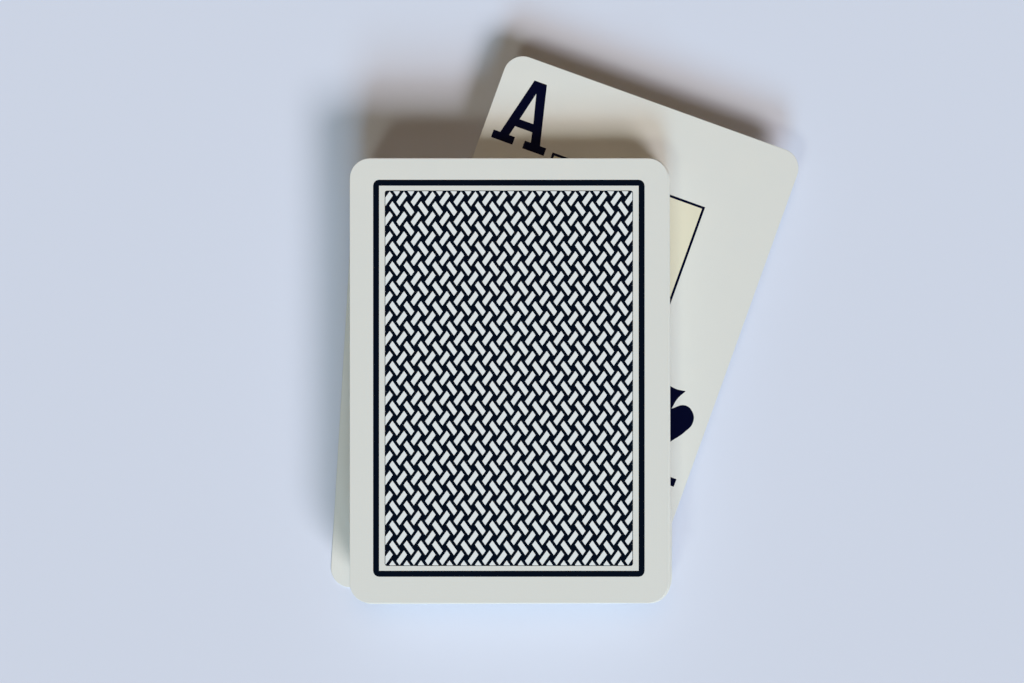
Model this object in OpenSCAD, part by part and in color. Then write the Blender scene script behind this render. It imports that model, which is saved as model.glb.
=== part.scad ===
// A loose deck of playing cards: fifty-two cards and two jokers, each one a plastic sheet of its own.
// Millimetres, +Z up. The origin lies on the table, under the middle of the top card.
// The cards lie face down, but for one that sticks out of the middle of the pile with its face up.

/* [Card] */
// Width of a card, poker size
card_width = 63; // [50:0.5:80]
// Length of a card, poker size
card_length = 88; // [70:0.5:120]
// Thickness of the plastic sheet
card_thickness = 0.28; // [0.2:0.01:0.6]
// Radius of a card's rounded corners
corner_radius = 4; // [1:0.25:8]

/* [Pile] */
// Space between two sheets, which the raised print and the air take up
sheet_gap = 0.03; // [0.02:0.005:0.2]
// How far the cards under the turned card lie to the right of those over it
lower_shift = 1.1; // [0:0.1:3]
// How far a card has slipped out to the right in its half of the pile, at most
slip_across = 0.45; // [0:0.05:2]
// How far a card has slipped out lengthwise from under the top card, at most
slip_along = 0.15; // [0:0.05:2]
// How far a card is turned from the top card, at most, in degrees
slip_angle = 0.15; // [0:0.05:1]

/* [Bottom card] */
// Place of the bottom card's middle to the right of the pile's
bottom_x = -3; // [-8:0.1:8]
// Place of the bottom card's middle up from the pile's
bottom_y = -0.8; // [-8:0.1:8]
// Turn of the bottom card, in degrees
bottom_angle = -3.4; // [-15:0.1:15]

/* [Turned card] */
// Number of cards under the one that sticks out
under_count = 27; // [5:1:48]
// Place of its middle to the right of the pile's
turned_x = 15.1; // [-20:0.1:20]
// Place of its middle up from the pile's
turned_y = 14.5; // [-20:0.1:20]
// Turn of the card that sticks out, in degrees
turned_angle = -19.8; // [-45:0.1:45]

/* [Hidden] */
$fn = 64;

RANKS = [
    "ace", "two", "three", "four", "five", "six", "seven", "eight", "nine", "ten", "jack", "queen", "king"
];
SUITS = ["spades", "hearts", "clubs", "diamonds"];
JOKERS = ["first_joker", "second_joker"];
suit_count = len(RANKS) * len(SUITS);
deck_count = suit_count + len(JOKERS);
top_slot = deck_count - 1;
turned_slot = under_count;

// The deck is mixed: each slot up the pile holds the card this many places on in a new deck's order.
mixing_count = 17;
// Angles that step round the circle from card to card, so that the slips follow no order that shows.
across_step = 137.5;
along_step = -97;
angle_step = 61;

// One sheet and the space above it.
sheet_pitch = card_thickness + sheet_gap;
// Middle of a corner's round, from the middle of the card.
corner_x = card_width / 2 - corner_radius;
corner_y = card_length / 2 - corner_radius;

// Place in a new deck's order of the card in a slot. The turned slot holds the first card of the order.
function card_in(slot) = ((mixing_count * (slot - turned_slot)) % deck_count + deck_count) % deck_count;

function card_name(card) =
    card < suit_count
        ? str(RANKS[card % len(RANKS)], "_of_", SUITS[floor(card / len(RANKS))])
        : JOKERS[card - suit_count];

// Slip of a card in the square pile, counted down from the top card, which lies true.
function slip_x(slot) =
    (slot < turned_slot ? lower_shift : 0) + slip_across * abs(sin(across_step * (top_slot - slot)));
function slip_y(slot) = -slip_along * abs(sin(along_step * (top_slot - slot)));
function slip_turn(slot) = slip_angle * sin(angle_step * (top_slot - slot));

// A card's outline, with its middle at the origin.
module card_outline() {
    union() {
        square([card_width, 2 * corner_y], center = true);
        square([2 * corner_x, card_length], center = true);
        for (side = [-1, 1], end = [-1, 1]) {
            translate([side * corner_x, end * corner_y]) circle(r = corner_radius);
        }
    }
}

// A sheet at its height in the pile.
module sheet(slot, x, y, turn) {
    translate([x, y, slot * sheet_pitch])
        rotate([0, 0, turn])
            linear_extrude(height = card_thickness) card_outline();
}

// The card on the table, askew under the pile.
module bottom_card() {
    color("ivory") sheet(0, bottom_x, bottom_y, bottom_angle);
}

// The card that sticks out of the pile with its face up.
module turned_card() {
    color("ivory") sheet(turned_slot, turned_x, turned_y, turned_angle);
}

// A card of the square pile, with its printed back up.
module pile_card(slot) {
    color("midnightblue") sheet(slot, slip_x(slot), slip_y(slot), slip_turn(slot));
}

for (slot = [0 : top_slot]) {
    union() {
        if (slot == 0) bottom_card();
        else if (slot == turned_slot) turned_card();
        else pile_card(slot);
    }
}
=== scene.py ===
# %% [markdown]
# # A loose deck of playing cards
#
# Fifty-four plastic cards lie in a pile: backs up, with one card turned out of the middle, face up. The
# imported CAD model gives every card's place and the joints it moves on. It is loaded first, and each card
# is then dressed with a sheet of plastic and with ink that lies on the sheet as a film of its own.
#
# A picture stretched over a card would be quicker. Real ink is a layer with sharp edges, so modelled
# print stays sharp from any distance, and it needs no image files.

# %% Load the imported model
import math

import bmesh
import bpy
from mathutils import Matrix, Vector


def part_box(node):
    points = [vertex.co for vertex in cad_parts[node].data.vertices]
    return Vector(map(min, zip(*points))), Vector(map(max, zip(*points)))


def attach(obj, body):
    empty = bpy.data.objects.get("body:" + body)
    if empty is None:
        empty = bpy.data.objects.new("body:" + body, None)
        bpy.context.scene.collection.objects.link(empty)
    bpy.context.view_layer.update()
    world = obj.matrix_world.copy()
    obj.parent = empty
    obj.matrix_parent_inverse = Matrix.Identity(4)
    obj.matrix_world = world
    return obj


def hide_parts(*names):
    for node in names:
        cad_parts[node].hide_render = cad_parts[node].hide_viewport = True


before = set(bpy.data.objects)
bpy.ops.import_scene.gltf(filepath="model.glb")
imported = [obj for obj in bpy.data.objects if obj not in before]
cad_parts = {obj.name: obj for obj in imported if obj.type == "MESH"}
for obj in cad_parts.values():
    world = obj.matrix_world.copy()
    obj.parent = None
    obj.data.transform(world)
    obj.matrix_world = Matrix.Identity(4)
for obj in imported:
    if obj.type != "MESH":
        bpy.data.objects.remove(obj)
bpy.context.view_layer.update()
print("cards in the frame:", len(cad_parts))

# %% [markdown]
# ## The camera
#
# The deck was photographed from straight above. A camera that is not turned looks down, with +Y at the
# top of its picture, so only its place and its lens have to be set. The lens follows from how wide the
# top card looks, and the height from how much smaller the lower cards look.

# %% Camera
CAMERA_PLACE = (0.0006, 0.00775, 0.379)
camera_data = bpy.data.cameras.new("camera")
camera_data.lens = 64.4
camera_data.sensor_width = 36
camera = bpy.data.objects.new("camera", camera_data)
camera.location = CAMERA_PLACE
bpy.context.collection.objects.link(camera)
bpy.context.scene.camera = camera
print("camera height in metres:", round(camera.location.z, 3))

# %% [markdown]
# ## Floor and light
#
# The light comes from the front, as from a broad window: most of it a little from the right, some from
# the left and some, which is cooler, from lower down. A weak, warm lamp from above stands for what the
# ceiling throws back, and it keeps the shadows behind the deck from going black. Sun lamps suit a small
# still life: they light the whole floor evenly, and their angle sets how soft the shadows are. Their
# shares add up to one in each colour, so that a surface renders about as its colour is written.
#
# The world gives no light of its own. It is only the pale backdrop that the camera and glossy surfaces
# see.

# %% Floor
scene = bpy.context.scene
scene.view_settings.view_transform = "Standard"
FLOOR_COLOUR = (0.600, 0.655, 0.770, 1.0)
FLOOR_DROP = 0.00002
FLOOR_REACH = 6
floor_mesh = bpy.data.meshes.new("floor")
floor_bm = bmesh.new()
bmesh.ops.create_grid(floor_bm, x_segments=1, y_segments=1, size=FLOOR_REACH)
bmesh.ops.translate(floor_bm, vec=(0, 0, -FLOOR_DROP), verts=floor_bm.verts)
floor_bm.to_mesh(floor_mesh)
floor_bm.free()
floor_finish = bpy.data.materials.new("floor_paper")
floor_finish.use_nodes = True
floor_shader = floor_finish.node_tree.nodes["Principled BSDF"]
floor_shader.inputs["Base Color"].default_value = FLOOR_COLOUR
floor_shader.inputs["Roughness"].default_value = 0.9
floor_shader.inputs["Specular IOR Level"].default_value = 0.1
floor_mesh.materials.append(floor_finish)
floor = bpy.data.objects.new("floor", floor_mesh)
bpy.context.collection.objects.link(floor)
print("floor colour:", FLOOR_COLOUR[:3])

# %% Lamps
def sun_lamp(name, share, towards, slope, softness):
    """A lamp that gives a level surface this share of its light.

    towards is where the lamp stands, as a direction over the floor. slope is how far a shadow falls for
    each unit of height, and softness is the lamp's width in degrees.
    """
    # A sun of strength pi, straight above, shows a level surface in its own colour. A low one needs more.
    lamp = bpy.data.lights.new(name, "SUN")
    aim = Vector((towards[0], towards[1], 0)).normalized() * slope + Vector((0, 0, 1))
    strength = max(share) * math.pi * aim.length
    lamp.energy = strength
    lamp.color = [part / max(share) for part in share]
    lamp.angle = math.radians(softness)
    holder = bpy.data.objects.new(name, lamp)
    holder.rotation_mode = "QUATERNION"
    holder.rotation_quaternion = aim.to_track_quat("Z", "Y")
    bpy.context.collection.objects.link(holder)
    print(name, "strength", round(strength, 2))


MAIN_SHARE = (0.520, 0.487, 0.490)
LEFT_SHARE = (0.115, 0.115, 0.095)
FRONT_SHARE = (0.193, 0.281, 0.347)
HIGH_SHARE = (0.172, 0.117, 0.068)
sun_lamp("main_lamp", MAIN_SHARE, towards=(0.53, -0.85), slope=1.02, softness=22)
sun_lamp("left_lamp", LEFT_SHARE, towards=(-0.50, -0.87), slope=0.70, softness=10)
sun_lamp("front_lamp", FRONT_SHARE, towards=(0.0, -1.0), slope=1.40, softness=20)
sun_lamp("high_lamp", HIGH_SHARE, towards=(0.0, 1.0), slope=0.30, softness=25)

# %% World
def sums(tree, operation, first, second=None):
    """A Math node in a tree. Its inputs are sockets to link or plain numbers."""
    node = tree.nodes.new("ShaderNodeMath")
    node.operation = operation
    for slot, value in enumerate((first, second)):
        if value is None:
            continue
        if isinstance(value, (int, float)):
            node.inputs[slot].default_value = value
        else:
            tree.links.new(value, node.inputs[slot])
    return node.outputs[0]


world = bpy.data.worlds.new("studio")
world.use_nodes = True
scene.world = world
sky = world.node_tree
sky.nodes.clear()
unlit = sky.nodes.new("ShaderNodeBackground")
unlit.inputs["Color"].default_value = (0.0, 0.0, 0.0, 1.0)
backdrop = sky.nodes.new("ShaderNodeBackground")
backdrop.inputs["Color"].default_value = FLOOR_COLOUR
rays = sky.nodes.new("ShaderNodeLightPath")
seen_or_glossy = sums(sky, "MAXIMUM", rays.outputs["Is Camera Ray"], rays.outputs["Is Glossy Ray"])
seen_at_all = sums(sky, "MAXIMUM", seen_or_glossy, rays.outputs["Is Transmission Ray"])
choose = sky.nodes.new("ShaderNodeMixShader")
sky.links.new(seen_at_all, choose.inputs[0])
sky.links.new(unlit.outputs[0], choose.inputs[1])
sky.links.new(backdrop.outputs[0], choose.inputs[2])
sky_out = sky.nodes.new("ShaderNodeOutputWorld")
sky.links.new(choose.outputs[0], sky_out.inputs["Surface"])
print("backdrop colour:", FLOOR_COLOUR[:3])

# %% [markdown]
# ## Where each card lies
#
# The frame holds one node per card. A node's box gives the middle of its card, and the normal of a long
# side gives its turn. Sorted by height, the nodes are the pile from the table up. The top card lies
# square, so its box is also the size of a card. From here on a card is drawn in millimetres about its
# own middle, and one matrix carries it to its place.

# %% Places and sizes
MM = 0.001
UPRIGHT = 0.5


def card_place(name):
    """Matrix from a card drawn in millimetres at the origin to its place in the pile."""
    low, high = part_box(name)
    sides = [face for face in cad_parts[name].data.polygons if abs(face.normal.z) < UPRIGHT]
    across = max(sides, key=lambda face: face.area).normal
    turn = math.atan(across.y / across.x)
    return Matrix.Translation((low + high) / 2) @ Matrix.Rotation(turn, 4, "Z") @ Matrix.Scale(MM, 4)


pile = sorted(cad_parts, key=lambda name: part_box(name)[0].z)
top_low, top_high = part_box(pile[-1])
CARD_WIDTH, CARD_LENGTH, CARD_THICKNESS = (top_high - top_low) / MM
print("card in mm:", round(CARD_WIDTH, 2), round(CARD_LENGTH, 2), round(CARD_THICKNESS, 3))
print("bottom to top:", pile[0], "to", pile[-1])

# %% [markdown]
# ## The plastic sheet
#
# A plastic card is punched from a printed sheet. Its corners are round, and the cut edge is a little
# softened. A flat plate with its four vertices bevelled is the outline. It is drawn out to the card's
# thickness, and the two rims are bevelled, so that each card of the pile catches a line of light along
# its edge.
#
# Each vertex also gets its place on the card in millimetres as a UV map. The finishes read that map, so
# their patterns follow the card wherever it lies and however it is turned.

# %% Plates and templates
CARD_MAP = "card_mm"


def plate(width, length, radius=0.0, steps=4):
    """A flat plate about the origin, with round corners where a radius is given."""
    bm = bmesh.new()
    bmesh.ops.create_grid(bm, x_segments=1, y_segments=1, size=0.5)
    bmesh.ops.scale(bm, vec=(width, length, 1), verts=bm.verts)
    if radius:
        bmesh.ops.bevel(
            bm,
            geom=bm.verts[:],
            offset=radius,
            segments=steps,
            profile=0.5,
            affect="VERTICES",
            material=-1,
        )
    return bm


def thicken(bm, low, high):
    """Draws a flat mesh out into a closed solid between two heights."""
    drawn = bmesh.ops.extrude_face_region(bm, geom=bm.faces[:], use_keep_orig=True)["geom"]
    lifted = [part for part in drawn if isinstance(part, bmesh.types.BMVert)]
    bmesh.ops.translate(bm, vec=(0, 0, high - low), verts=lifted)
    bmesh.ops.translate(bm, vec=(0, 0, low), verts=bm.verts)
    bmesh.ops.recalc_face_normals(bm, faces=bm.faces)


def as_template(bm, name):
    """Writes the card map and turns a bmesh into a mesh that every card can copy."""
    card_map = bm.loops.layers.uv.new(CARD_MAP)
    for face in bm.faces:
        for loop in face.loops:
            loop[card_map].uv = loop.vert.co.xy
    mesh = bpy.data.meshes.new(name)
    bm.to_mesh(mesh)
    bm.free()
    return mesh


print("card map:", CARD_MAP)

# %% Sheet
CORNER_RADIUS = 4
CORNER_STEPS = 12
RIM_SOFTENING = 0.07
LEVEL = 0.99

half_thickness = CARD_THICKNESS / 2
sheet_bm = plate(CARD_WIDTH, CARD_LENGTH, CORNER_RADIUS, CORNER_STEPS)
thicken(sheet_bm, -half_thickness, half_thickness)
rims = []
for edge in sheet_bm.edges:
    first_end, second_end = edge.verts
    if abs(first_end.co.z - second_end.co.z) < half_thickness:
        rims.append(edge)
bmesh.ops.bevel(
    sheet_bm, geom=rims, offset=RIM_SOFTENING, segments=2, profile=0.5, affect="EDGES", material=-1
)
for face in sheet_bm.faces:
    face.smooth = abs(face.normal.z) < LEVEL
sheet_template = as_template(sheet_bm, "sheet")
print("faces of a sheet:", len(sheet_template.polygons))

# %% [markdown]
# ## Effects that the finishes share
#
# A plastic card is rolled with a fine linen grain that lets it slide, it is never quite even in tone,
# and hands dull it along its edges; that greying of the edges is also painted shade, where the cards of
# a pile shade each other's sides. The sheet and every ink on it show the same grain, and the two whites
# share their uneven tone, so each effect is built once, as a node group. A group only puts out values
# that change over the surface, and the shader stays in the material.

# %% Linen grain
def effect_group(name, inputs, output):
    """A shader node group with one vector input, more number inputs with defaults, and one value out."""
    group = bpy.data.node_groups.new(name, "ShaderNodeTree")
    group.interface.new_socket("Card Position", in_out="INPUT", socket_type="NodeSocketVector")
    for title, value in inputs.items():
        socket = group.interface.new_socket(title, in_out="INPUT", socket_type="NodeSocketFloat")
        socket.default_value = value
    group.interface.new_socket(output, in_out="OUTPUT", socket_type="NodeSocketFloat")
    return group, group.nodes.new("NodeGroupInput"), group.nodes.new("NodeGroupOutput")


linen, linen_in, linen_out = effect_group("linen_grain", {"Pitch": 0.55}, "Height")
spot = linen.nodes.new("ShaderNodeSeparateXYZ")
linen.links.new(linen_in.outputs["Card Position"], spot.inputs[0])
turns = sums(linen, "DIVIDE", 2 * math.pi, linen_in.outputs["Pitch"])
threads_across = sums(linen, "SINE", sums(linen, "MULTIPLY", spot.outputs["X"], turns))
threads_along = sums(linen, "SINE", sums(linen, "MULTIPLY", spot.outputs["Y"], turns))
linen.links.new(sums(linen, "MAXIMUM", threads_across, threads_along), linen_out.inputs["Height"])
print("linen grain:", len(linen.nodes), "nodes")

# %% Uneven tone
tone, tone_in, tone_out = effect_group("uneven_tone", {"Patch Size": 7.0}, "Value")
patches = tone.nodes.new("ShaderNodeTexNoise")
patches.inputs["Detail"].default_value = 5.0
patches.inputs["Roughness"].default_value = 0.62
tone.links.new(tone_in.outputs["Card Position"], patches.inputs["Vector"])
tone.links.new(sums(tone, "DIVIDE", 1.0, tone_in.outputs["Patch Size"]), patches.inputs["Scale"])
tone.links.new(patches.outputs["Fac"], tone_out.inputs["Value"])
print("uneven tone:", len(tone.nodes), "nodes")

# %% Edge wear and painted edge shade
# The mask greys a card near its outline and over its cut sides. It is partly wear from handling and partly
# painted shade, where the cards of a pile shade each other.
edge_wear_and_shade, edge_wear_and_shade_in, edge_wear_and_shade_out = effect_group("edge_wear_and_painted_shade", {"Reach": 0.45}, "Mask")
place_on_card = edge_wear_and_shade.nodes.new("ShaderNodeSeparateXYZ")
edge_wear_and_shade.links.new(edge_wear_and_shade_in.outputs["Card Position"], place_on_card.inputs[0])
out_sideways = sums(edge_wear_and_shade, "ABSOLUTE", place_on_card.outputs["X"])
out_endways = sums(edge_wear_and_shade, "ABSOLUTE", place_on_card.outputs["Y"])
from_side = sums(edge_wear_and_shade, "SUBTRACT", CARD_WIDTH / 2, out_sideways)
from_end = sums(edge_wear_and_shade, "SUBTRACT", CARD_LENGTH / 2, out_endways)
fade = edge_wear_and_shade.nodes.new("ShaderNodeMapRange")
fade.interpolation_type = "SMOOTHSTEP"
fade.inputs["To Min"].default_value = 1.0
fade.inputs["To Max"].default_value = 0.0
edge_wear_and_shade.links.new(sums(edge_wear_and_shade, "MINIMUM", from_side, from_end), fade.inputs["Value"])
edge_wear_and_shade.links.new(edge_wear_and_shade_in.outputs["Reach"], fade.inputs["From Max"])
wear_and_shade_noise = edge_wear_and_shade.nodes.new("ShaderNodeTexNoise")
wear_and_shade_noise.inputs["Scale"].default_value = 0.45
wear_and_shade_noise.inputs["Detail"].default_value = 4.0
edge_wear_and_shade.links.new(edge_wear_and_shade_in.outputs["Card Position"], wear_and_shade_noise.inputs["Vector"])
edge_wear_and_shade_mask = sums(edge_wear_and_shade, "MULTIPLY", fade.outputs[0], wear_and_shade_noise.outputs["Fac"])
edge_wear_and_shade.links.new(edge_wear_and_shade_mask, edge_wear_and_shade_out.inputs["Mask"])
print("handled edge:", len(edge_wear_and_shade.nodes), "nodes")

# %% [markdown]
# ## The finishes
#
# Six finishes cover the deck: the off-white plastic, the cooler white that is printed under the weave of
# the backs, their navy ink, the black and the red ink of the faces, and the cream tint behind a picture
# panel. They all have the linen grain and a gloss that varies a little, so one function builds them. The
# two whites also vary in tone, and the plastic greys slightly towards its edges, partly as wear and
# partly as painted shade between the cards of a pile. An ink's colour is even, as printed ink is, so it is
# set on the shader itself.

# %% Helpers for a finish
def effect(tree, group, card_position):
    """A shared effect, set into a material."""
    node = tree.nodes.new("ShaderNodeGroup")
    node.node_tree = group
    tree.links.new(card_position, node.inputs["Card Position"])
    return node.outputs[0]


def blend(tree, under, over, amount):
    """Mixes two colours, each a socket to link or a plain value."""
    node = tree.nodes.new("ShaderNodeMix")
    node.data_type = "RGBA"
    for socket, value in ((node.inputs["A"], under), (node.inputs["B"], over)):
        if isinstance(value, tuple):
            socket.default_value = (*value, 1.0)
        else:
            tree.links.new(value, socket)
    tree.links.new(amount, node.inputs["Factor"])
    return node.outputs["Result"]


print("shared effects:", [group.name for group in (linen, tone, edge_wear_and_shade)])

# %% The plastic
GRAIN_DEPTH = 0.000004
GRAIN_STRENGTH = 0.5
TONE_LOW = 0.3
TONE_HIGH = 0.7
ROUGHNESS_LOW = 0.36
ROUGHNESS_HIGH = 0.48
PLASTIC_GLOSS = 0.4


def card_finish(name, colour, gloss_level, uneven_colour=None, edge_wear_and_shade_colour=None):
    """A card's material, with linen grain and uneven gloss.

    Where the two other colours are given, its tone is uneven and its edges carry wear and painted shade.
    """
    material = bpy.data.materials.new(name)
    material.use_nodes = True
    tree = material.node_tree
    shader = tree.nodes["Principled BSDF"]
    shader.inputs["Base Color"].default_value = (*colour, 1.0)
    shader.inputs["Specular IOR Level"].default_value = gloss_level
    map_node = tree.nodes.new("ShaderNodeUVMap")
    map_node.uv_map = CARD_MAP
    card_position = map_node.outputs["UV"]
    uneven = effect(tree, tone, card_position)
    gloss = tree.nodes.new("ShaderNodeMapRange")
    gloss.inputs["From Min"].default_value = TONE_LOW
    gloss.inputs["From Max"].default_value = TONE_HIGH
    gloss.inputs["To Min"].default_value = ROUGHNESS_LOW
    gloss.inputs["To Max"].default_value = ROUGHNESS_HIGH
    tree.links.new(uneven, gloss.inputs["Value"])
    tree.links.new(gloss.outputs[0], shader.inputs["Roughness"])
    grain = tree.nodes.new("ShaderNodeBump")
    grain.inputs["Strength"].default_value = GRAIN_STRENGTH
    grain.inputs["Distance"].default_value = GRAIN_DEPTH
    tree.links.new(effect(tree, linen, card_position), grain.inputs["Height"])
    tree.links.new(grain.outputs["Normal"], shader.inputs["Normal"])
    if uneven_colour:
        shown = blend(tree, colour, uneven_colour, uneven)
        if edge_wear_and_shade_colour:
            shown = blend(tree, shown, edge_wear_and_shade_colour, effect(tree, edge_wear_and_shade, card_position))
        tree.links.new(shown, shader.inputs["Base Color"])
    print("finish:", name)
    return material


# Its edge colour is partly wear and partly painted shade on each card's rim and cut sides.
card_stock = card_finish(
    "card_stock",
    (0.628, 0.655, 0.625),
    PLASTIC_GLOSS,
    uneven_colour=(0.603, 0.633, 0.615),
    edge_wear_and_shade_colour=(0.600, 0.625, 0.592),
)

# %% White, inks and tint
INK_GLOSS = 0.02
back_white = card_finish(
    "back_white",
    (0.683, 0.735, 0.748),
    PLASTIC_GLOSS,
    uneven_colour=(0.655, 0.708, 0.722),
)
back_ink = card_finish("back_ink", (0.0004, 0.0026, 0.0080), INK_GLOSS)
black_ink = card_finish("black_ink", (0.0002, 0.0010, 0.0125), INK_GLOSS)
red_ink = card_finish("red_ink", (0.480, 0.012, 0.016), INK_GLOSS)
panel_tint = card_finish("panel_tint", (0.640, 0.630, 0.500), PLASTIC_GLOSS)

# %% [markdown]
# ## Lines, and how ink lies on a card
#
# A printed line round a panel is the space between two plates. Bridging the two outlines fills it,
# whether their corners are round or square. A print is then a flat mesh that is thickened into a film.
# The film starts a few thousandths of a millimetre inside the sheet, so that no gap shows, and stands a
# little proud of it.

# %% Line and film
INK_SINK = 0.004
INK_RISE = 0.006
TINT_RISE = 0.003


def joined(*parts):
    """One bmesh from several, which are used up."""
    whole = bmesh.new()
    carrier = bpy.data.meshes.new("carrier")
    for part in parts:
        part.to_mesh(carrier)
        part.free()
        whole.from_mesh(carrier)
    bpy.data.meshes.remove(carrier)
    return whole


def line_round(outer, inner):
    """The printed line between the outlines of two plates."""
    bm = joined(outer, inner)
    bmesh.ops.delete(bm, geom=bm.faces[:], context="FACES_ONLY")
    bmesh.ops.bridge_loops(bm, edges=bm.edges[:])
    return bm


def film(bm, name, rise=INK_RISE):
    """Ink on the upper side of a card."""
    thicken(bm, half_thickness - INK_SINK, half_thickness + rise)
    return as_template(bm, name)


print("ink stands proud by mm:", INK_RISE)

# %% [markdown]
# ## The printed back
#
# The back carries a basket weave: short pale bricks that lean left and right in turn, on a navy ground,
# with a hairline round the weave and a bold navy line round that. Inside the hairline the card is a
# cooler, brighter white than at its margins, so a plate of white lies there first. The bricks are that
# white showing through, so the ink is what has to be made: a sheet with brick-shaped holes.
#
# One cell of the weave is a square with an inset face. The inset face is stretched to the brick's shape
# and deleted, which leaves a ring of four faces. The bricks are a little longer than their cells, so the
# middles of a cell's sides bulge out past the brick's ends, into the waist of the next cell. A second
# cell, turned by a right angle, completes the repeat. Both are slanted into place, repeated along a row,
# and the row is repeated up the panel. Four cuts then trim the weave to its panel, straight through the
# bricks, as on the real card.

# %% One repeat of the weave
WEAVE_ACROSS = 2.824
WEAVE_ALONG = 3.945
BRICK_LONG = 1.05
BRICK_WIDE = 0.43
BULGE = 1.3
WAIST = 0.7
INSET = 0.25
INSET_SIDE = 1 - 2 * INSET


def weave_cell(turn, step):
    """A ring of ink round one brick, in a square of side one."""
    bm = bmesh.new()
    bmesh.ops.create_grid(bm, x_segments=1, y_segments=1, size=0.5)
    bm.faces.ensure_lookup_table()
    brick = bm.faces[0]
    bmesh.ops.inset_individual(bm, faces=[brick], thickness=INSET, use_even_offset=True)
    sides = [edge for edge in bm.edges if edge.is_boundary]
    halved = bmesh.ops.bisect_edges(bm, edges=sides, cuts=1)["geom_split"]
    middles = [part for part in halved if isinstance(part, bmesh.types.BMVert)]
    bmesh.ops.scale(bm, vec=(BULGE, WAIST, 1), verts=middles)
    stretch = (BRICK_LONG / INSET_SIDE, BRICK_WIDE / INSET_SIDE, 1)
    bmesh.ops.scale(bm, vec=stretch, verts=brick.verts[:])
    bmesh.ops.delete(bm, geom=[brick], context="FACES_ONLY")
    bmesh.ops.rotate(bm, matrix=Matrix.Rotation(turn, 3, "Z"), verts=bm.verts)
    bmesh.ops.translate(bm, vec=(step, 0, 0), verts=bm.verts)
    return bm


weave = joined(weave_cell(0, 0), weave_cell(math.pi / 2, 1))
slant = Matrix.Identity(4)
slant[0][0], slant[0][1] = WEAVE_ACROSS / 2, -WEAVE_ACROSS / 2
slant[1][0], slant[1][1] = WEAVE_ALONG / 2, WEAVE_ALONG / 2
bmesh.ops.transform(weave, matrix=slant, verts=weave.verts)
print("faces of one repeat:", len(weave.faces))

# %% Repeat and trim the weave
PANEL_WIDTH = 49.1
PANEL_LENGTH = 74.25
HAIRLINE = 0.12
COLUMNS = 20
ROWS = 21
SEAM_WIDTH = 0.001


def repeat(bm, count, step):
    """Sets copies of a bmesh side by side."""
    first = bm.verts[:] + bm.edges[:] + bm.faces[:]
    for number in range(1, count):
        copied = bmesh.ops.duplicate(bm, geom=first)["geom"]
        moved = [part for part in copied if isinstance(part, bmesh.types.BMVert)]
        bmesh.ops.translate(bm, vec=Vector(step) * number, verts=moved)


repeat(weave, COLUMNS, (WEAVE_ACROSS, 0, 0))
repeat(weave, ROWS, (0, WEAVE_ALONG, 0))
first_brick = ((1 - COLUMNS) / 2 * WEAVE_ACROSS, (1 - ROWS) / 2 * WEAVE_ALONG, 0)
bmesh.ops.translate(weave, vec=first_brick, verts=weave.verts)
bmesh.ops.remove_doubles(weave, verts=weave.verts, dist=SEAM_WIDTH)
trim_x = PANEL_WIDTH / 2 - HAIRLINE
trim_y = PANEL_LENGTH / 2 - HAIRLINE
for point, outwards in (((trim_x, 0, 0), (1, 0, 0)), ((0, trim_y, 0), (0, 1, 0))):
    for side in (-1, 1):
        bmesh.ops.bisect_plane(
            weave,
            geom=weave.verts[:] + weave.edges[:] + weave.faces[:],
            plane_co=Vector(point) * side,
            plane_no=Vector(outwards) * side,
            clear_outer=True,
        )
print("faces of the weave:", len(weave.faces))

# %% Frame and hairline of the back
FRAME_WIDTH = 53.70
FRAME_LENGTH = 78.52
FRAME_LINE = 1.18
PANEL_ROUND = 0.5
WHITE_ROUND = 0.4
BACK_SHIFT = (-0.02, 0.48, 0)

back_frame = line_round(
    plate(FRAME_WIDTH, FRAME_LENGTH, FRAME_LINE),
    plate(FRAME_WIDTH - 2 * FRAME_LINE, FRAME_LENGTH - 2 * FRAME_LINE),
)
hairline = line_round(
    plate(PANEL_WIDTH, PANEL_LENGTH, PANEL_ROUND),
    plate(PANEL_WIDTH - 2 * HAIRLINE, PANEL_LENGTH - 2 * HAIRLINE, PANEL_ROUND - HAIRLINE),
)
back_bm = joined(back_frame, hairline, weave)
bmesh.ops.translate(back_bm, vec=BACK_SHIFT, verts=back_bm.verts)
back_template = film(back_bm, "back_print")
white_bm = plate(PANEL_WIDTH - HAIRLINE, PANEL_LENGTH - HAIRLINE, WHITE_ROUND)
bmesh.ops.translate(white_bm, vec=BACK_SHIFT, verts=white_bm.verts)
white_template = film(white_bm, "back_white", TINT_RISE)
print("faces of a printed back:", len(back_template.polygons))

# %% [markdown]
# ## Pips
#
# The four suit signs are flat outlines, alike on both sides of their middle. A curve is the natural
# tool: a few knots give a clean outline, which is filled and made a mesh. Only the right half of each
# outline is written down, from the top to the bottom, and the left half mirrors it. A knot is a corner
# or it is smooth.

# %% Filled outlines
CURVE_STEPS = 6
SAME_POINT = 0.0005
CORNER = True
SMOOTH = False


def filled(*outlines):
    """A flat bmesh between closed outlines of (x, y, is it a corner) knots."""
    curve = bpy.data.curves.new("outline", "CURVE")
    curve.dimensions = "2D"
    curve.fill_mode = "BOTH"
    curve.resolution_u = CURVE_STEPS
    for knots in outlines:
        straight = all(corner for x, y, corner in knots)
        spline = curve.splines.new("POLY" if straight else "BEZIER")
        points = spline.points if straight else spline.bezier_points
        points.add(len(knots) - 1)
        spline.use_cyclic_u = True
        for point, (x, y, corner) in zip(points, knots):
            if straight:
                point.co = (x, y, 0, 1)
            else:
                point.co = (x, y, 0)
                point.handle_left_type = point.handle_right_type = "VECTOR" if corner else "AUTO"
    return flat_mesh(curve)


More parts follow.
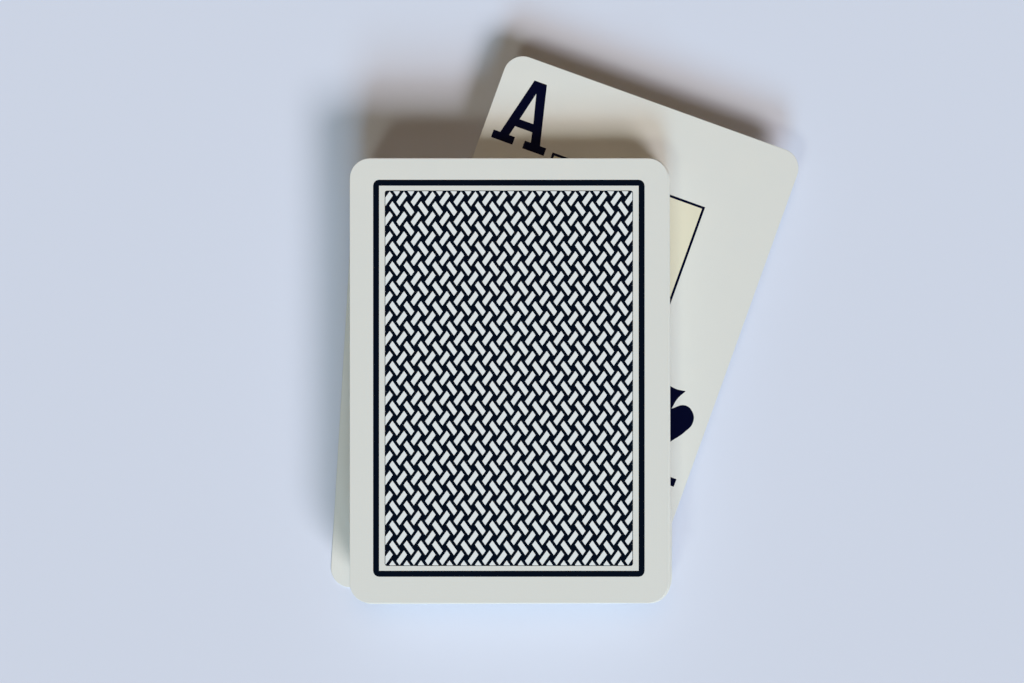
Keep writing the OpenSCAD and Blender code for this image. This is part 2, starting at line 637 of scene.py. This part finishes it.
def flat_mesh(curve):
    """Makes a filled curve or a text a flat bmesh."""
    holder = bpy.data.objects.new("outline", curve)
    bpy.context.collection.objects.link(holder)
    drawn = holder.evaluated_get(bpy.context.evaluated_depsgraph_get())
    mesh = bpy.data.meshes.new_from_object(drawn)
    bpy.data.objects.remove(holder)
    bpy.data.curves.remove(curve)
    bm = bmesh.new()
    bm.from_mesh(mesh)
    bpy.data.meshes.remove(mesh)
    bmesh.ops.remove_doubles(bm, verts=bm.verts, dist=SAME_POINT)
    return bm


print("steps between two knots:", CURVE_STEPS)

# %% The four suit signs
def mirrored(right_half):
    """Both halves of an outline, from its right half."""
    left_half = [(-x, y, corner) for x, y, corner in reversed(right_half) if x > 0]
    return right_half + left_half


PIP_HEIGHT = 14.2
HALF_OUTLINES = {
    "spades": [
        (0, 14.2, CORNER), (2.5, 10.6, SMOOTH), (4.5, 7.85, SMOOTH), (5.42, 5.5, SMOOTH),
        (4.65, 3.55, SMOOTH), (2.75, 2.75, SMOOTH), (0.4, 4.3, CORNER), (0.85, 2.0, SMOOTH),
        (1.9, 0, CORNER), (0, 0.25, SMOOTH),
    ],
    "hearts": [
        (0, 11.4, CORNER), (2.9, 14.2, SMOOTH), (5.6, 11.2, SMOOTH), (4.6, 7.2, SMOOTH),
        (2.3, 3.8, SMOOTH), (0, 0, CORNER),
    ],
    "clubs": [
        (0, 14.2, SMOOTH), (2.95, 11.2, SMOOTH), (1.7, 8.6, CORNER), (3.6, 8.5, SMOOTH),
        (5.9, 5.6, SMOOTH), (3.2, 2.7, SMOOTH), (0.5, 4.5, CORNER), (1.1, 1.9, SMOOTH),
        (1.8, 0, CORNER), (0, 0.25, SMOOTH),
    ],
    "diamonds": [
        (0, 14.2, CORNER), (2.35, 10.4, SMOOTH), (5.2, 7.1, CORNER), (2.35, 3.8, SMOOTH),
        (0, 0, CORNER),
    ],
}
PIPS = {suit: filled(mirrored(half)) for suit, half in HALF_OUTLINES.items()}
print("faces of each pip:", {suit: len(bm.faces) for suit, bm in PIPS.items()})

# %% A sign on a card
def placed(shape, x, y, scale=1.0, turned=False):
    """A copy of a flat shape, set on a card."""
    bm = shape.copy()
    size = -scale if turned else scale
    bmesh.ops.scale(bm, vec=(size, size, 1), verts=bm.verts)
    bmesh.ops.translate(bm, vec=(x, y, 0), verts=bm.verts)
    return bm


def pip(suit, x, y, height, turned=False):
    """A suit sign about a point of the card."""
    scale = height / PIP_HEIGHT
    middle = height / 2
    return placed(PIPS[suit], x, y + middle if turned else y - middle, scale, turned)


print("pip height in mm:", PIP_HEIGHT)

# %% [markdown]
# ## Index letters
#
# A card's corner shows its rank as a large letter or number. The ace's letter can be seen in full: a
# heavy capital with slab feet, drawn here from straight outlines with a hole. The other ranks lie face
# down. They use Blender's own font, which is thickened and fitted to the same height.

# %% Ranks
INDEX_X = -23.71
INDEX_TOP = 39.94
INDEX_HEIGHT = 13.75
INDEX_WIDTH = 11.3
INDEX_PIP_X = -23.2
INDEX_PIP_Y = 15.9
LETTER_THICKENING = 0.02
LETTERS = {
    "two": "2", "three": "3", "four": "4", "five": "5", "six": "6", "seven": "7", "eight": "8",
    "nine": "9", "ten": "10", "jack": "J", "queen": "Q", "king": "K",
}
ACE_OUTLINE = [
    (-1.23, 13.75), (1.43, 13.75), (4.31, 1.64), (5.65, 1.64), (5.65, 0), (1.04, 0), (1.04, 1.64),
    (2.31, 1.64), (1.86, 3.71), (-1.82, 3.71), (-2.32, 1.64), (-1.07, 1.64), (-1.07, 0), (-5.65, 0),
    (-5.65, 1.64), (-4.24, 1.64),
]
ACE_COUNTER = [(0.01, 11.33), (1.51, 5.36), (-1.415, 5.36)]


def letter(text):
    """A rank in Blender's own font, thickened and fitted to the index height."""
    curve = bpy.data.curves.new("rank", "FONT")
    curve.body = text
    curve.offset = LETTER_THICKENING
    bm = flat_mesh(curve)
    low = Vector([min(vert.co[axis] for vert in bm.verts) for axis in range(3)])
    high = Vector([max(vert.co[axis] for vert in bm.verts) for axis in range(3)])
    size = high - low
    tall = INDEX_HEIGHT / size.y
    wide = min(tall, INDEX_WIDTH / size.x)
    bmesh.ops.translate(bm, vec=(-low.x - size.x / 2, -low.y, 0), verts=bm.verts)
    bmesh.ops.scale(bm, vec=(wide, tall, 1), verts=bm.verts)
    return bm


RANK_SHAPES = {rank: letter(text) for rank, text in LETTERS.items()}
ace_outlines = [[(x, y, CORNER) for x, y in points] for points in (ACE_OUTLINE, ACE_COUNTER)]
RANK_SHAPES["ace"] = filled(*ace_outlines)
print("ranks:", len(RANK_SHAPES))

# %% [markdown]
# ## Card faces
#
# A card reads the same from both ends, so a face is half a design and its copy turned about the middle
# of the card. The number cards have their traditional rows of pips. The ace of spades, the court cards
# and the jokers have a cream panel in a thin line. A plain crown, with more points for a higher rank,
# marks a court card, and a star marks a joker.

# %% Indices and panels
PANEL_FACE_WIDTH = 32.8
PANEL_FACE_LENGTH = 55.0
PANEL_LINE = 0.5
PANEL_SHIFT = (-0.2, 0, 0)


def turned_copy(bm):
    """The same print at the card's other end."""
    copy = bm.copy()
    bmesh.ops.rotate(copy, matrix=Matrix.Rotation(math.pi, 3, "Z"), verts=copy.verts)
    return copy


def indices(rank_shape, sign_shape, sign_height):
    """Rank and suit in two opposite corners."""
    rank_part = placed(rank_shape, INDEX_X, INDEX_TOP - INDEX_HEIGHT)
    sign_part = placed(sign_shape, INDEX_PIP_X, INDEX_PIP_Y - sign_height / 2)
    corner = joined(rank_part, sign_part)
    return joined(turned_copy(corner), corner)


def panel_line():
    """The thin line round a picture panel."""
    line = line_round(
        plate(PANEL_FACE_WIDTH, PANEL_FACE_LENGTH),
        plate(PANEL_FACE_WIDTH - 2 * PANEL_LINE, PANEL_FACE_LENGTH - 2 * PANEL_LINE),
    )
    bmesh.ops.translate(line, vec=PANEL_SHIFT, verts=line.verts)
    return line


print("panel in mm:", PANEL_FACE_WIDTH, PANEL_FACE_LENGTH)

# %% Rows of pips
COLUMN_X = 9.5
ROW_Y = 27.0
ROW_PIP = 11
ROWS_OF_PIPS = {
    "two": [(0, 1)],
    "three": [(0, 1), (0, 0)],
    "four": [(-1, 1), (1, 1)],
    "five": [(-1, 1), (1, 1), (0, 0)],
    "six": [(-1, 1), (1, 1), (-1, 0), (1, 0)],
    "seven": [(-1, 1), (1, 1), (-1, 0), (1, 0)],
    "eight": [(-1, 1), (1, 1), (-1, 0), (1, 0), (0, 0.5)],
    "nine": [(-1, 1), (1, 1), (-1, 1 / 3), (1, 1 / 3), (0, 0)],
    "ten": [(-1, 1), (1, 1), (-1, 1 / 3), (1, 1 / 3), (0, 2 / 3)],
}
SINGLE_ROWS = {"seven": [(0, 0.5)]}


def number_face(rank, suit):
    """Rows of pips, the lower half upside down."""
    parts = []
    for column, row in ROWS_OF_PIPS[rank]:
        parts.append(pip(suit, column * COLUMN_X, row * ROW_Y, ROW_PIP))
        if row > 0:
            parts.append(pip(suit, -column * COLUMN_X, -row * ROW_Y, ROW_PIP, turned=True))
    for column, row in SINGLE_ROWS.get(rank, []):
        parts.append(pip(suit, column * COLUMN_X, row * ROW_Y, ROW_PIP))
    return parts


print("layouts:", len(ROWS_OF_PIPS))

# %% Crowns and stars
CROWN_POINTS = {"jack": 3, "queen": 5, "king": 7}
CROWN_WIDTH = 20.0
CROWN_FLARE = 1.1
CROWN_DIP = 4.5
CROWN_TIP = 10.5
CROWN_FOOT_Y = 14
COURT_PIP = 10
COURT_PIP_Y = 7
STAR_POINTS = 5
STAR_WAIST = 0.4


def crown(points):
    """A crown as one outline: a straight foot and a row of spikes."""
    half = CROWN_WIDTH / 2
    knots = [(half, 0, CORNER)]
    for number in range(2 * points - 1):
        x = half - CROWN_WIDTH * number / (2 * points - 2)
        knots.append((x * CROWN_FLARE, CROWN_DIP if number % 2 else CROWN_TIP, CORNER))
    knots.append((-half, 0, CORNER))
    return filled(knots)


def star(size):
    """A five-pointed star from a circle whose every other vertex is drawn in."""
    bm = bmesh.new()
    bmesh.ops.create_circle(bm, cap_ends=True, radius=size / 2, segments=2 * STAR_POINTS)
    bm.verts.ensure_lookup_table()
    bmesh.ops.scale(bm, vec=(STAR_WAIST, STAR_WAIST, 1), verts=bm.verts[:][1::2])
    bmesh.ops.translate(bm, vec=(0, size / 2, 0), verts=bm.verts)
    return bm


def court_face(rank, suit):
    """A panel with a crown over a pip, turned about the middle."""
    crown_part = placed(crown(CROWN_POINTS[rank]), 0, CROWN_FOOT_Y)
    half = joined(crown_part, pip(suit, 0, COURT_PIP_Y, COURT_PIP))
    return [panel_line(), turned_copy(half), half]


print("crowns:", CROWN_POINTS)

# %% Face of any card
INDEX_STAR = 11
LARGE_SIGN = 26


def joker_face():
    """Two stars in each corner and a large one in a panel."""
    stars = indices(star(INDEX_STAR), star(INDEX_STAR), INDEX_STAR)
    return [stars, panel_line(), placed(star(LARGE_SIGN), PANEL_SHIFT[0], -LARGE_SIGN / 2)]


def face_print(name):
    """The face print of a card, from its name."""
    if "_of_" not in name:
        return film(joined(*joker_face()), name)
    rank, suit = name.split("_of_")
    parts = [indices(RANK_SHAPES[rank], PIPS[suit], PIP_HEIGHT)]
    if rank in ROWS_OF_PIPS:
        parts += number_face(rank, suit)
    elif rank in CROWN_POINTS:
        parts += court_face(rank, suit)
    else:
        parts.append(pip(suit, 0, 0, LARGE_SIGN))
        if suit == "spades":
            parts.append(panel_line())
    return film(joined(*parts), name)


def has_panel(name):
    """Whether a card has a tinted panel."""
    rank = name.split("_of_")[0]
    return "joker" in name or rank in CROWN_POINTS or name == "ace_of_spades"


tint_bm = plate(PANEL_FACE_WIDTH - PANEL_LINE, PANEL_FACE_LENGTH - PANEL_LINE)
bmesh.ops.translate(tint_bm, vec=PANEL_SHIFT, verts=tint_bm.verts)
tint_template = film(tint_bm, "panel_tint", TINT_RISE)
print("cards with a panel:", sum(has_panel(name) for name in pile))

# %% [markdown]
# ## Dealing the pieces out
#
# Every card now gets its sheet, its back and its face. A print is drawn on the upper side of a card.
# Half a turn about the card's long axis takes it to the lower side, where it reads the right way round
# from below. Only the ace of spades lies face up. Each piece rides on the card's own body, so it follows
# every joint, and the sheet is drawn in the place of the CAD solid, which is hidden.

# %% Pieces
FACE_UP = "ace_of_spades"
TURNED_OVER = Matrix.Rotation(math.pi, 4, "Y")


def piece(name, template, place, finish, body):
    """A copy of a template in a card's place, riding on its body."""
    mesh = template.copy()
    mesh.name = name
    mesh.materials.append(finish)
    mesh.transform(place)
    made = bpy.data.objects.new(name, mesh)
    bpy.context.collection.objects.link(made)
    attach(made, body)
    return made


for card in pile:
    upper = card_place(card)
    lower = upper @ TURNED_OVER
    face_side, back_side = (upper, lower) if card == FACE_UP else (lower, upper)
    sheet = piece(card + "_sheet", sheet_template, upper, card_stock, card)
    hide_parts(card)
    piece(card + "_back", back_template, back_side, back_ink, card)
    piece(card + "_white", white_template, back_side, back_white, card)
    red = card.endswith(("hearts", "diamonds")) or card == "second_joker"
    ink, ink_slot = (red_ink, "red_ink") if red else (black_ink, "black_ink")
    face_template = face_print(card)
    piece(card + "_face", face_template, face_side, ink, card)
    bpy.data.meshes.remove(face_template)
    if has_panel(card):
        piece(card + "_panel", tint_template, face_side, panel_tint, card)
for template in (sheet_template, back_template, white_template, tint_template):
    bpy.data.meshes.remove(template)
for shape in (*PIPS.values(), *RANK_SHAPES.values()):
    shape.free()
